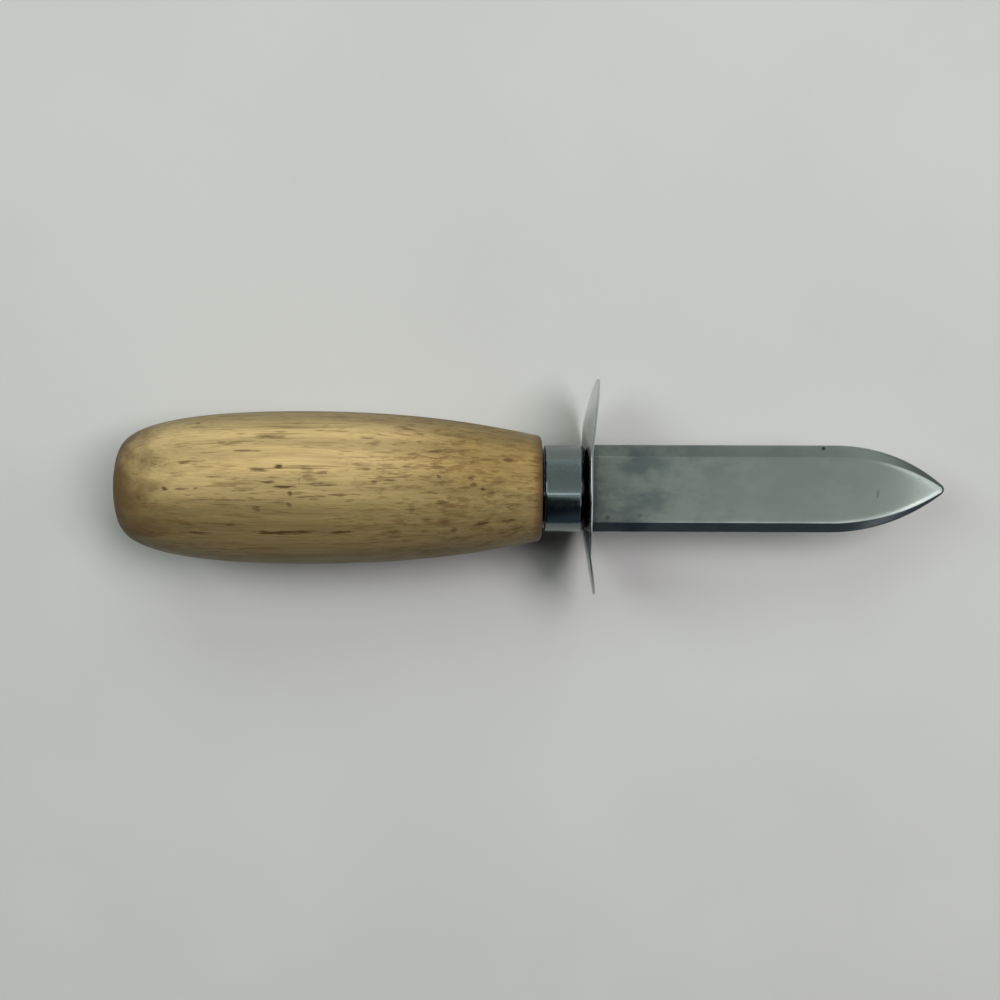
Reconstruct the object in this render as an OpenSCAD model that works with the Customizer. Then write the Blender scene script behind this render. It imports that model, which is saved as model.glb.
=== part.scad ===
// Oyster knife with a turned wooden handle, a drawn steel ferrule, an oval hand guard whose
// wings are bent towards the blade, and a lancet blade. It lies on a table with the blade's
// flats level. All sizes are in millimetres.

/* [Handle] */
// Length of the turned grip, from the butt to the shoulder that the ferrule seats on
handle_l = 81.4; // [70:0.2:100]
// Diameter at the thickest part of the grip
belly_d = 29.8; // [26:0.2:34]
// Distance from the butt to the thickest part
belly_from_butt = 35; // [28:0.5:42]
// Diameter of the flat land in the middle of the butt
butt_flat_d = 14.4; // [10:0.2:18]
// How far the butt's outline pulls outwards before it turns into the rear shoulder
butt_round_h = 4.9; // [3:0.1:6]
// How far behind the belly the rear shoulder's outline pulls level
shoulder_l = 22.6; // [16:0.2:26]
// How far in front of the belly the neck's outline pulls level
neck_sweep_l = 27; // [16:0.5:32]
// Diameter at the front edge, before that edge is rounded
neck_d = 20.8; // [19:0.1:24]
// Angle at which the outline runs down to the front edge, in degrees
neck_slope = 10; // [4:1:16]
// Radius of the rounded front edge
neck_edge_r = 1.2; // [0.5:0.1:1.6]

/* [Ferrule] */
// Outside diameter of the drawn steel cap
ferrule_d = 16.9; // [15:0.1:18.5]
// Length of the cap, from the handle's shoulder to the guard
ferrule_l = 8.6; // [6:0.1:11]
// Thickness of the cap's wall and of its front
ferrule_wall = 0.8; // [0.6:0.1:1]
// Radius of the cap's rounded front corner
ferrule_front_r = 1.4; // [1.1:0.1:1.6]
// Chamfer on the cap's rear corner
ferrule_chamfer = 0.3; // [0.1:0.05:0.5]
// How far the wooden spigot stops short of the cap's front
spigot_setback = 0.3; // [0.1:0.05:0.6]

/* [Guard] */
// Width of the oval plate, across the blade's edges
guard_w = 43.1; // [38:0.1:48]
// Height of the oval plate, across the blade's flats
guard_h = 29.8; // [27:0.2:34]
// Radius of the two rounded ends of the oval
guard_end_r = 4.7; // [4:0.1:9]
// Thickness of the sheet
guard_t = 0.5; // [0.4:0.05:0.8]
// Inside radius of the bend between the flat seat and each wing
guard_bend_r = 12; // [4:0.5:30]
// Angle that each wing is bent through, in degrees
wing_angle = 9; // [3:0.5:14]
// How far the flat seat reaches past the ferrule or the blade, whichever is wider
guard_seat_rim = 0.2; // [0.1:0.05:1]
// Gap all round the tang in the slots of the plate and of the ferrule's front
slot_gap = 0.1; // [0.05:0.05:0.3]

/* [Blade] */
// Length of the blade, from the guard to the point
blade_l = 69.5; // [60:0.1:80]
// Width of the blade between its parallel edges
blade_w = 17.5; // [15:0.1:20]
// Thickness between the flats
blade_t = 2; // [1.6:0.1:2.6]
// Length of the curved part that runs to the point
point_l = 21.8; // [18:0.2:26]
// Radius of the blunt point, seen from above
point_r = 1.2; // [0.8:0.1:1.6]
// Width of the bevel that runs round the blade
bevel_w = 2.15; // [1.6:0.05:2.6]
// Thickness of the blunt edge
edge_t = 0.5; // [0.3:0.05:0.7]
// Length over which both flats thin towards the point
thin_l = 20; // [14:0.5:24]
// How much each flat loses at the point
thin_depth = 0.55; // [0.3:0.05:0.6]

/* [Tang] */
// Length of the tang behind the guard's front face
tang_l = 54; // [40:1:62]
// Width of the tang at the guard
tang_w = 6.8; // [5:0.1:7]
// Width of the tang at its end
tang_end_w = 5; // [4:0.1:5]
// Number of keying notches along each edge of the tang
notch_count = 4; // [1:1:6]
// Radius of each notch
notch_r = 0.6; // [0.3:0.05:0.8]
// Least gap between the tang's corners and the hole drilled in the handle for it
resin_gap = 0.35; // [0.2:0.05:0.8]
// Depth that the hole goes on past the end of the tang
bore_spare_l = 3; // [1:0.5:5]

/* [Hidden] */
$fn = 96;

// Points drawn along each of the two curves of the handle's outline
curve_steps = 28;
// Steps drawn along each rounded edge
edge_steps = 6;
// Half-angle of a drill's point
drill_angle = 59;
// Overshoot of a cutting shape past what it cuts
over = 1;

// Stations along the knife, measured from the butt
seat_x = handle_l + ferrule_l;
spigot_end = seat_x - ferrule_wall - spigot_setback;
shoulder_x = seat_x + guard_t;
overall_l = shoulder_x + blade_l;
tang_end_x = shoulder_x - tang_l;
bore_end_x = tang_end_x - bore_spare_l;

// Drilled hole for the tang, and the height of the cone that the drill leaves at its end
tang_bore_r = norm([tang_w, blade_t]) / 2 + resin_gap;
drill_cone_h = tang_bore_r / tan(drill_angle);

// The knife lies with its axis level, on its belly or its guard, whichever reaches lower
axis_height = max(belly_d, guard_h) / 2;

spigot_r = ferrule_d / 2 - ferrule_wall;
// Radius inside the cap's front corner, which the spigot's end is chamfered to clear
cap_corner_r = max(ferrule_front_r - ferrule_wall, slot_gap);
// Half the width of the guard's flat seat
guard_seat_r = max(ferrule_d, blade_w) / 2 + guard_seat_rim;

// Point at t on the cubic curve from a to d, which leaves towards b and arrives from c
function bezier(a, b, c, d, t) =
    pow(1 - t, 3) * a + 3 * pow(1 - t, 2) * t * b + 3 * (1 - t) * t * t * c + t * t * t * d;

// Points on an arc about a centre, between two angles in degrees
function arc(centre, r, start, end) =
    [for (i = [0 : edge_steps])
        let (a = start + (end - start) * i / edge_steps) centre + r * [cos(a), sin(a)]];

// Centre of the rounded front edge, and the point where the outline runs into it
edge_centre = [neck_d / 2 - neck_edge_r, handle_l - neck_edge_r];
edge_start = edge_centre + neck_edge_r * [cos(neck_slope), sin(neck_slope)];
// Run of straight pull on the outline just behind that point
edge_lead = 4;

// Outline points are [radius, distance from the butt]
butt_curve = [for (i = [0 : curve_steps])
    bezier([butt_flat_d / 2, 0],
           [butt_flat_d / 2 + butt_round_h, 0],
           [belly_d / 2, belly_from_butt - shoulder_l],
           [belly_d / 2, belly_from_butt], i / curve_steps)];
neck_curve = [for (i = [1 : curve_steps - 1])
    bezier([belly_d / 2, belly_from_butt],
           [belly_d / 2, belly_from_butt + neck_sweep_l],
           edge_start + edge_lead * [sin(neck_slope), -cos(neck_slope)],
           edge_start, i / curve_steps)];
front_edge = arc(edge_centre, neck_edge_r, neck_slope, 90);
spigot_outline = [
    [spigot_r, handle_l],
    [spigot_r, spigot_end - cap_corner_r],
    [spigot_r - cap_corner_r, spigot_end],
    [0, spigot_end]];

// Turns children that are modelled up the Z axis so that they lie along +X
module along_x() {
    rotate([0, 90, 0]) children();
}

// Lays the knife on the table: middle of its length over the origin, lowest point at zero
module lying() {
    translate([-overall_l / 2, 0, axis_height]) children();
}

// Turned grip and its spigot, drilled for the tang. Its surface has its seam along the top.
module handle() {
    color("burlywood")
    lying() along_x() rotate([0, 0, 180]) difference() {
        rotate_extrude()
            polygon(concat([[0, 0]], butt_curve, neck_curve, front_edge, spigot_outline));
        tang_bore(spigot_end + over);
    }
}

// The drilled hole, with the drill's cone at its blind end, as far as open_end
module tang_bore(open_end) {
    rotate_extrude()
        polygon([[0, bore_end_x - drill_cone_h], [tang_bore_r, bore_end_x],
                 [tang_bore_r, open_end], [0, open_end]]);
}

// Drawn cap over the spigot, with a slot in its front for the tang
module ferrule() {
    outside_r = ferrule_d / 2;
    inside_l = ferrule_l - ferrule_wall;
    color("silver")
    lying() difference() {
        translate([handle_l, 0, 0]) along_x() rotate_extrude()
            polygon(concat(
                [[spigot_r, 0], [outside_r - ferrule_chamfer, 0], [outside_r, ferrule_chamfer]],
                arc([outside_r - ferrule_front_r, ferrule_l - ferrule_front_r],
                    ferrule_front_r, 0, 90),
                [[0, ferrule_l], [0, inside_l]],
                arc([spigot_r - cap_corner_r, inside_l - cap_corner_r], cap_corner_r, 90, 0)));
        tang_slot(seat_x - ferrule_wall, ferrule_wall);
    }
}

// Slot for the tang, through a wall that starts at a station and has a thickness
module tang_slot(wall_x, wall_t) {
    translate([wall_x - over, -tang_w / 2 - slot_gap, -blade_t / 2 - slot_gap])
        cube([wall_t + 2 * over, tang_w + 2 * slot_gap, blade_t + 2 * slot_gap]);
}

// Oval plate: flat where the ferrule and the blade clamp it, its wings bent towards the blade
module guard() {
    color("lightsteelblue")
    lying() difference() {
        translate([seat_x, 0, 0]) intersection() {
            linear_extrude(height = guard_h + 2 * over, center = true) difference() {
                bend_outline(guard_bend_r + guard_t);
                bend_outline(guard_bend_r);
            }
            translate([-over, 0, 0]) rotate([90, 0, 90])
                linear_extrude(height = guard_w / 2) oval();
        }
        tang_slot(seat_x, guard_t);
    }
}

// Outline, seen from above, whose rear side is one face of the sheet: the straight seat, the
// circles that the wings are bent round, and the straight wings
module bend_outline(r) {
    translate([guard_bend_r + guard_t, 0]) {
        translate([-r, -guard_seat_r]) square([r + guard_w, 2 * guard_seat_r]);
        for (turned = [0, 1]) mirror([0, turned]) translate([0, guard_seat_r]) {
            circle(r = r, $fn = 256);
            rotate(-wing_angle) translate([-r, 0]) square([r + guard_w, guard_w]);
        }
    }
}

// Oval of four tangent arcs, guard_w wide and guard_h high
module oval() {
    end_c = guard_w / 2 - guard_end_r;
    side_gap = guard_h / 2 - guard_end_r;
    side_c = (end_c * end_c - side_gap * side_gap) / (2 * side_gap);
    side_r = guard_h / 2 + side_c;
    meet_x = end_c * (1 + guard_end_r / (side_r - guard_end_r));
    for (s = [-1, 1]) translate([s * end_c, 0]) circle(r = guard_end_r);
    intersection() {
        translate([0, -side_c]) circle(r = side_r);
        translate([0, side_c]) circle(r = side_r);
        square([2 * meet_x, 2 * guard_h], center = true);
    }
}

module blade() {
    color("gainsboro")
    lying() {
        translate([shoulder_x, 0, 0]) blade_body();
        tang();
    }
}

// Blade from its shoulder at the origin to the point, with both flats thinned at the end
module blade_body() {
    point_x = blade_l - point_l;
    difference() {
        union() {
            rotate([90, 0, 90]) linear_extrude(height = point_x) blade_section();
            curved_point(point_x);
        }
        for (turned = [0, 1]) mirror([0, 0, turned]) thinning_cut();
    }
}

// Section across the blade: a flat and two bevels on each side, and two blunt edges
module blade_section() {
    flat_w = blade_w - 2 * bevel_w;
    polygon([[-blade_w / 2, -edge_t / 2], [-flat_w / 2, -blade_t / 2],
             [flat_w / 2, -blade_t / 2], [blade_w / 2, -edge_t / 2],
             [blade_w / 2, edge_t / 2], [flat_w / 2, blade_t / 2],
             [-flat_w / 2, blade_t / 2], [-blade_w / 2, edge_t / 2]]);
}

// The two curved edges: each is an arc tangent to its straight edge and to the round point
module curved_point(start_x) {
    tip_centre_x = blade_l - point_r;
    run = tip_centre_x - start_x;
    half_w = blade_w / 2;
    arc_r = (run * run + half_w * half_w - point_r * point_r) / (2 * (half_w - point_r));
    meet_x = run * arc_r / (arc_r - point_r);
    intersection() {
        intersection_for (s = [-1, 1])
            translate([start_x, s * (half_w - arc_r), 0]) bevelled_disc(arc_r);
        translate([start_x, 0, -blade_t]) linear_extrude(height = 2 * blade_t) union() {
            translate([0, -blade_w]) square([meet_x, 2 * blade_w]);
            translate([run, 0]) circle(r = point_r);
        }
    }
}

// Disc of the blade's thickness whose rim has the blade's blunt edge and bevels
module bevelled_disc(r) {
    rotate_extrude($fn = 256)
        polygon([[0, -blade_t / 2], [r - bevel_w, -blade_t / 2], [r, -edge_t / 2],
                 [r, edge_t / 2], [r - bevel_w, blade_t / 2], [0, blade_t / 2]]);
}

// What is ground off one flat near the point: all that lies above a large, tangent cylinder
module thinning_cut() {
    grind_r = (thin_l * thin_l + thin_depth * thin_depth) / (2 * thin_depth);
    translate([blade_l - thin_l, 0, blade_t / 2 - grind_r]) difference() {
        translate([0, -blade_w, grind_r - 2 * thin_depth])
            cube([thin_l + over, 2 * blade_w, 3 * thin_depth]);
        rotate([90, 0, 0]) cylinder(r = grind_r, h = 4 * blade_w, center = true, $fn = 256);
    }
}

// Flat tang, narrower towards its end, with half-round notches that the resin keys into.
// It runs on a little way into the blade, so that the two are one piece of steel.
module tang() {
    pitch = (tang_l - ferrule_l - guard_t) / (notch_count + 1);
    root_x = shoulder_x + over;
    translate([0, 0, -blade_t / 2]) linear_extrude(height = blade_t) difference() {
        polygon([[tang_end_x, -tang_end_w / 2], [shoulder_x, -tang_w / 2], [root_x, -tang_w / 2],
                 [root_x, tang_w / 2], [shoulder_x, tang_w / 2], [tang_end_x, tang_end_w / 2]]);
        for (i = [1 : notch_count], s = [-1, 1])
            translate([tang_end_x + i * pitch, s * tang_half_w(i * pitch)])
                circle(r = notch_r, $fn = 32);
    }
}

// Half the tang's width at a distance from its end
function tang_half_w(from_end) =
    (tang_end_w + (tang_w - tang_end_w) * from_end / tang_l) / 2;

// Cutler's resin that fills the drilled hole around the tang
module tang_resin() {
    color("darkkhaki")
    lying() difference() {
        along_x() tang_bore(spigot_end);
        tang();
    }
}

handle();
ferrule();
guard();
blade();
tang_resin();
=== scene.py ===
"""An oyster knife on a pale table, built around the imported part.

The knife lies along +X from its butt to its point, with the blade's flats level. Each sub-assembly
is a class: it holds its sizes in millimetres, builds its mesh in metres and dresses it.
"""

import logging
import math
from dataclasses import dataclass
from enum import Enum

import bmesh
import bpy
import numpy as np
from mathutils import Matrix, Vector


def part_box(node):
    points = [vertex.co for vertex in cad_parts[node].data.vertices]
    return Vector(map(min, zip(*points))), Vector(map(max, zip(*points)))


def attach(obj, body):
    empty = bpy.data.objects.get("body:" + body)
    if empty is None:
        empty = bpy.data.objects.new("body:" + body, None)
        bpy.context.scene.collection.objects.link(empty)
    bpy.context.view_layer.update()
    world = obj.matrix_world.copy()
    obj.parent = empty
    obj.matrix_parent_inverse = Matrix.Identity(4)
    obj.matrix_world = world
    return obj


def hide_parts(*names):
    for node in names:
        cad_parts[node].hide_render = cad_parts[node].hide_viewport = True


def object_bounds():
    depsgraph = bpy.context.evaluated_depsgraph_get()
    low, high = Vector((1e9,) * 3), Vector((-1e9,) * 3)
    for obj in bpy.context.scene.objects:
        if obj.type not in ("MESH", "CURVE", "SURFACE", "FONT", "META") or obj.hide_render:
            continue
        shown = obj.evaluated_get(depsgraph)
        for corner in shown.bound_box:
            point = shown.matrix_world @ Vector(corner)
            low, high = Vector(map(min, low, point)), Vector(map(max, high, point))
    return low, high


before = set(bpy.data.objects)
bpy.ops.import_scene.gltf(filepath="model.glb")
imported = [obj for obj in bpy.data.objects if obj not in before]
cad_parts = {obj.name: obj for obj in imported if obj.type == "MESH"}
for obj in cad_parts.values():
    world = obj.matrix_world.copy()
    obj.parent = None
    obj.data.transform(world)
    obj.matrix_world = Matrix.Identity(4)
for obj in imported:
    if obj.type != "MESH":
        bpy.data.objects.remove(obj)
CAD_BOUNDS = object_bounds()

LOG = logging.getLogger("oyster_knife")
BODY = "root"
MM = 0.001
SAME_POINT_M = 1e-6

Pair = tuple[float, float]
Triple = tuple[float, float, float]
Colour = tuple[float, float, float, float]
Socket = bpy.types.NodeSocket


# Small helpers for colour, curves and meshes


def tint(red: int, green: int, blue: int) -> Colour:
    """Turns a colour as a screen shows it into the linear values that shaders take.

    Args:
        red: red, 0 to 255.
        green: green, 0 to 255.
        blue: blue, 0 to 255.

    Returns:
        Linear red, green and blue, and full opacity.
    """
    def linear(channel: int) -> float:
        """Undoes the screen's curve for one channel."""
        share = channel / 255
        return share / 12.92 if share <= 0.04045 else ((share + 0.055) / 1.055) ** 2.4

    return linear(red), linear(green), linear(blue), 1.0


def bezier(a: Pair, b: Pair, c: Pair, d: Pair, steps: int) -> np.ndarray:
    """Points on the cubic curve (1-t)^3 a + 3(1-t)^2 t b + 3(1-t) t^2 c + t^3 d.

    Args:
        a: where the curve starts.
        b: what it leaves towards.
        c: what it arrives from.
        d: where it ends.
        steps: how many stretches it is drawn with.

    Returns:
        An array of steps + 1 points.
    """
    t = np.linspace(0, 1, steps + 1)[:, None]
    a, b, c, d = (np.array(point, float) for point in (a, b, c, d))
    return (1 - t) ** 3 * a + 3 * (1 - t) ** 2 * t * b + 3 * (1 - t) * t * t * c + t ** 3 * d


def arc(centre: Pair, radius: float, start: float, end: float, steps: int) -> np.ndarray:
    """Points centre + radius (cos a, sin a), with a running evenly from start to end degrees."""
    a = np.radians(np.linspace(start, end, steps + 1))[:, None]
    return np.array(centre, float) + radius * np.hstack([np.cos(a), np.sin(a)])


def straight(start: Pair, end: Pair, steps: int) -> np.ndarray:
    """Points start + t (end - start), with t running evenly from 0 to 1."""
    t = np.linspace(0, 1, steps + 1)[:, None]
    return np.array(start, float) + t * (np.array(end, float) - np.array(start, float))


def chain(*runs: np.ndarray) -> np.ndarray:
    """Joins runs of points, each starting where the one before ends, without repeated joints."""
    return np.vstack([runs[0], *(run[1:] for run in runs[1:])])


def ease(value: np.ndarray, low: float, high: float) -> np.ndarray:
    """Smooth step 3t^2 - 2t^3, with t = (value - low) / (high - low) held between 0 and 1."""
    t = np.clip((value - low) / (high - low), 0, 1)
    return t * t * (3 - 2 * t)


def to_step(value: np.ndarray, step: float) -> np.ndarray:
    """The nearest whole number of steps, floor(value / step + 1/2) step."""
    return np.floor(value / step + 0.5) * step


def grid_faces(rows: int, columns: int, round_rows: bool, round_columns: bool) -> np.ndarray:
    """Quads of a grid whose point (row, column) has the number row * columns + column.

    Args:
        rows: number of rows.
        columns: number of columns.
        round_rows: whether the last row joins the first.
        round_columns: whether the last column joins the first.

    Returns:
        An array with the four point numbers of each quad.
    """
    row = np.arange(rows if round_rows else rows - 1)[:, None]
    column = np.arange(columns if round_columns else columns - 1)[None, :]
    next_row, next_column = (row + 1) % rows, (column + 1) % columns
    corners = [row * columns + column, row * columns + next_column,
               next_row * columns + next_column, next_row * columns + column]
    return np.stack(corners, axis=-1).reshape(-1, 4)


def solid(name: str, points: np.ndarray, faces: list, smooth_under: float = 30) -> bpy.types.Object:
    """Makes a closed mesh object from points and faces, with outward normals.

    Args:
        name: the piece's name.
        points: its points in metres, in the knife's frame.
        faces: its faces, as lists of point numbers.
        smooth_under: angle in degrees below which two faces shade as one surface.

    Returns:
        The object, at the origin, unturned and unscaled.
    """
    mesh = bpy.data.meshes.new(name)
    mesh.from_pydata(points, [], faces)
    shape = bmesh.new()
    shape.from_mesh(mesh)
    bmesh.ops.remove_doubles(shape, verts=shape.verts, dist=SAME_POINT_M)
    bmesh.ops.dissolve_degenerate(shape, edges=shape.edges, dist=SAME_POINT_M)
    bmesh.ops.recalc_face_normals(shape, faces=shape.faces)
    if shape.calc_volume(signed=True) < 0:
        bmesh.ops.reverse_faces(shape, faces=shape.faces)
    shape.to_mesh(mesh)
    shape.free()
    mesh.polygons.foreach_set("use_smooth", np.ones(len(mesh.polygons), bool))
    mesh.set_sharp_from_angle(angle=math.radians(smooth_under))
    piece = bpy.data.objects.new(name, mesh)
    bpy.context.scene.collection.objects.link(piece)
    return piece


def place(piece: bpy.types.Object, finish: bpy.types.Material, node: str) -> None:
    """Dresses a piece and puts it in its CAD node's place, on the knife's one body.

    Args:
        piece: the built piece.
        finish: its material.
        node: the CAD node that it stands for.
    """
    piece.data.materials.append(finish)
    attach(piece, BODY)
    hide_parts(node)
    LOG.info("%s: %d points stand for node %s", piece.name, len(piece.data.vertices), node)


# Node graphs for the finishes


class Graph:
    """Short ways to add and join the nodes of one material or world."""

    def __init__(self, tree: bpy.types.NodeTree) -> None:
        """Empties the node tree of a material or world, and keeps it."""
        tree.nodes.clear()
        self.tree = tree

    def add(self, kind: str, inputs: dict | None = None, **settings: object) -> bpy.types.Node:
        """Adds a node.

        Args:
            kind: the node's type.
            inputs: values or sockets for its inputs, by name or number.
            settings: the node's own settings.

        Returns:
            The new node.
        """
        node = self.tree.nodes.new(kind)
        for key, value in settings.items():
            setattr(node, key, value)
        for key, value in (inputs or {}).items():
            self.feed(node.inputs[key], value)
        return node

    def feed(self, socket: Socket, value: object) -> None:
        """Links a socket to an input, or sets the input's own value.

        Args:
            socket: the input.
            value: a socket, number, vector or colour.
        """
        if isinstance(value, bpy.types.NodeSocket):
            self.tree.links.new(value, socket)
        else:
            socket.default_value = value

    def math(self, operation: str, a: object, b: object = 0.0) -> Socket:
        """Result of a Math node on a and b."""
        return self.add("ShaderNodeMath", {0: a, 1: b}, operation=operation).outputs[0]

    def times(self, a: object, b: object) -> Socket:
        """Product of two numbers."""
        return self.math("MULTIPLY", a, b)

    def plus(self, a: object, b: object) -> Socket:
        """Sum of two numbers."""
        return self.math("ADD", a, b)

    def vector(self, operation: str, a: object, b: object = (0, 0, 0)) -> Socket:
        """Vector result of a Vector Math node on a and b."""
        return self.add("ShaderNodeVectorMath", {0: a, 1: b}, operation=operation).outputs[0]

    def scale(self, a: object, factor: object) -> Socket:
        """Colour or vector a times a factor."""
        return self.add("ShaderNodeVectorMath", {0: a, "Scale": factor}, operation="SCALE").outputs[0]

    def mix(self, share: object, a: object, b: object) -> Socket:
        """Colour that runs from a to b as share runs from 0 to 1."""
        node = self.add("ShaderNodeMix", {0: share, 6: a, 7: b}, data_type="RGBA")
        return node.outputs[2]

    def fade(self, value: object, low: float, high: float, start: object = 0.0,
             end: object = 1.0) -> Socket:
        """Smooth run from start to end as value goes from low to high, and flat outside.

        Args:
            value: what is measured.
            low: value at which the run starts.
            high: value at which it ends, larger or smaller than low.
            start: result up to low, as a number or socket.
            end: result from high on, as a number or socket.

        Returns:
            The result's socket.
        """
        if low > high:
            low, high, start, end = high, low, end, start
        return self.add("ShaderNodeMapRange",
                        {0: value, 1: low, 2: high, 3: start, 4: end},
                        interpolation_type="SMOOTHSTEP").outputs[0]

    def millimetres(self) -> Socket:
        """Object coordinates in millimetres, in the knife's frame."""
        where = self.add("ShaderNodeTexCoord").outputs["Object"]
        return self.vector("MULTIPLY", where, (1 / MM,) * 3)

    def noise(self, where: Socket, per_mm: Triple, detail: float = 2.0, rough: float = 0.5) -> Socket:
        """Noise from 0 to 1, with per_mm cycles in a millimetre along X, Y and Z."""
        place_at = self.vector("MULTIPLY", where, per_mm)
        return self.add("ShaderNodeTexNoise",
                        {"Vector": place_at, "Scale": 1.0, "Detail": detail, "Roughness": rough},
                        normalize=True).outputs["Fac"]

    def specks(self, where: Socket, cell_mm: Triple, reach: object, edge: float) -> Socket:
        """Scattered specks, one in each cell of a random pattern.

        Args:
            where: position in millimetres.
            cell_mm: the cells' size along X, Y and Z. A speck is a small copy of its cell.
            reach: a speck's half-width as a share of its cell, as a number or socket.
            edge: width of its soft edge, as a share of its cell.

        Returns:
            1 inside a speck and 0 outside.
        """
        place_at = self.vector("MULTIPLY", where, tuple(1 / size for size in cell_mm))
        distance = self.add("ShaderNodeTexVoronoi", {"Vector": place_at, "Scale": 1.0},
                            feature="F1").outputs["Distance"]
        inside = self.math("SUBTRACT", reach, distance)
        return self.fade(inside, 0.0, edge)

    def marks(self, where: Socket, marks: tuple["Mark", ...], ragged: Socket) -> Socket:
        """Oval marks with ragged edges, at listed places.

        Args:
            where: position in millimetres.
            marks: the marks.
            ragged: noise from 0 to 1 that makes the ovals' edges ragged.

        Returns:
            Up to 1 inside a mark and 0 outside.
        """
        total: Socket | None = None
        for mark in marks:
            away = self.vector("SUBTRACT", where, mark.centre)
            scaled = self.vector("MULTIPLY", away, tuple(1 / size for size in mark.half))
            length = self.add("ShaderNodeVectorMath", {0: scaled}, operation="LENGTH")
            rough_edge = self.plus(length.outputs["Value"], ragged)
            inside = self.fade(rough_edge, 1.7, 0.8, 0.0, mark.depth)
            total = inside if total is None else self.math("MAXIMUM", total, inside)
        return total


@dataclass(frozen=True)
class Mark:
    """An oval mark on a surface, such as a knot, a stain or a patch of painted shade, in millimetres in
    the knife's frame.
    """

    centre: Triple
    half: Triple
    depth: float = 1.0


def new_material(name: str) -> tuple[bpy.types.Material, Graph]:
    """Makes a material with an empty node tree.

    Args:
        name: the finish's name.

    Returns:
        The material and its graph.
    """
    material = bpy.data.materials.new(name)
    material.use_nodes = True
    return material, Graph(material.node_tree)


def finish_surface(graph: Graph, colour: Socket, roughness: Socket, height: Socket,
                   height_mm: float, **constants: float) -> None:
    """Ends a material's graph in one surface shader with a relief.

    Args:
        graph: the material's graph.
        colour: base colour.
        roughness: roughness.
        height: relief, from 0 to 1.
        height_mm: depth of the relief in millimetres.
        constants: values for the shader's other sockets, with _ in place of spaces.
    """
    bump = graph.add("ShaderNodeBump", {"Height": height, "Distance": height_mm * MM,
                                        "Strength": 1.0})
    shader = graph.add("ShaderNodeBsdfPrincipled",
                       {"Base Color": colour, "Roughness": roughness,
                        "Normal": bump.outputs["Normal"]})
    for key, value in constants.items():
        shader.inputs[key.replace("_", " ")].default_value = value
    output = graph.add("ShaderNodeOutputMaterial")
    graph.tree.links.new(shader.outputs[0], output.inputs["Surface"])


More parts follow.
